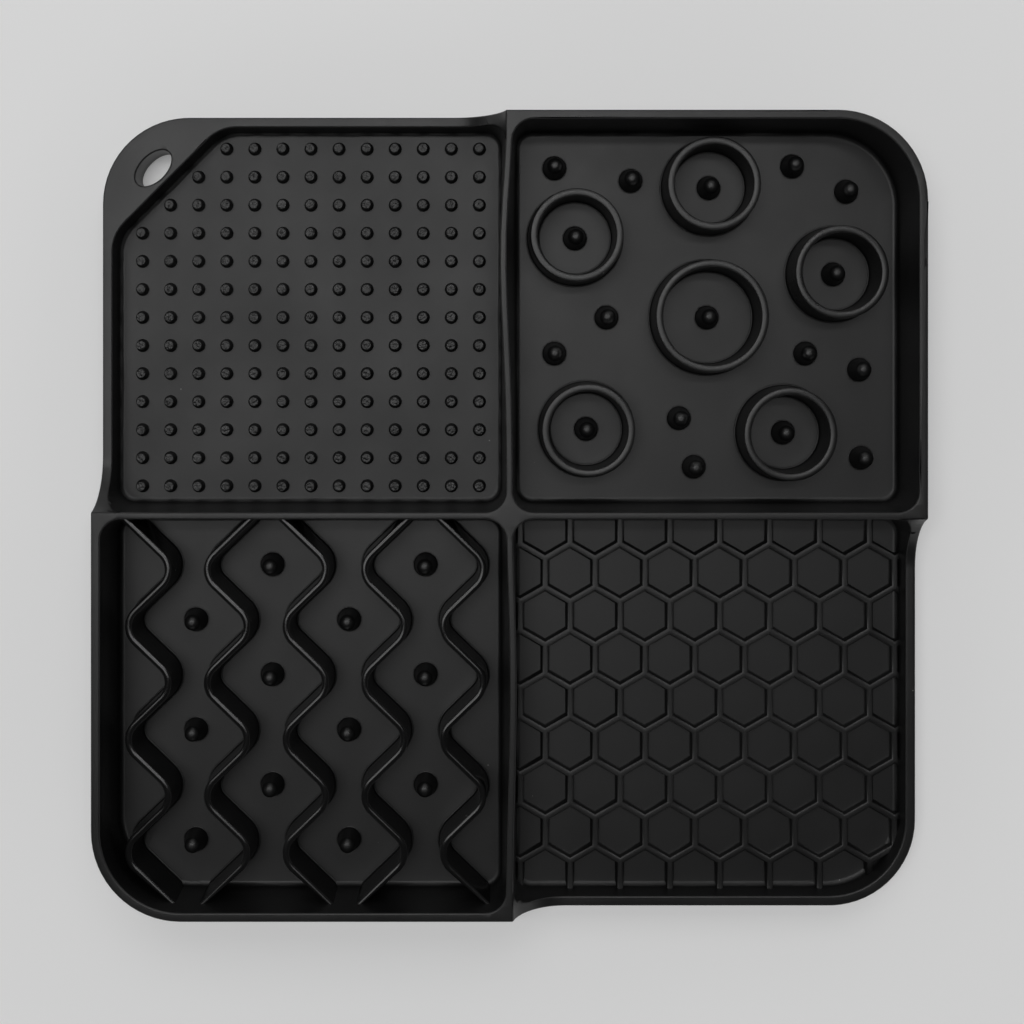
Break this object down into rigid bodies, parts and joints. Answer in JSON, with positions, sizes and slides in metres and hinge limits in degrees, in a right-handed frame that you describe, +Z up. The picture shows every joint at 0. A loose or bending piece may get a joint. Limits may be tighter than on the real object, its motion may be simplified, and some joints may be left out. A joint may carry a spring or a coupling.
{
  "type": "lick mat",
  "caption": "Square silicone lick mat whose compartments hold nubs, feeder rings, wavy ribs and a honeycomb for spread food, with a corner hole to hang it by.",
  "frame": {"origin": "centre of the mat's flat underside", "axes": "+Z up out of the compartments, +X across the mat towards the ring and honeycomb side, +Y towards the nub and ring side"},
  "size_m": [0.2, 0.194, 0.018],
  "materials": {
    "silicone": "matte black moulded silicone"
  },
  "bodies": {
    "root": {"mat_body": "silicone", "nubs": "silicone", "centre_ring": "silicone", "small_ring_1": "silicone", "small_ring_2": "silicone", "small_ring_3": "silicone", "small_ring_4": "silicone", "small_ring_5": "silicone", "ring_studs": "silicone", "loose_studs": "silicone", "wave_rib_1": "silicone", "wave_rib_2": "silicone", "wave_rib_3": "silicone", "wave_rib_4": "silicone", "wave_rib_5": "silicone", "wave_studs": "silicone", "honeycomb": "silicone"}
  },
  "joints": []
}
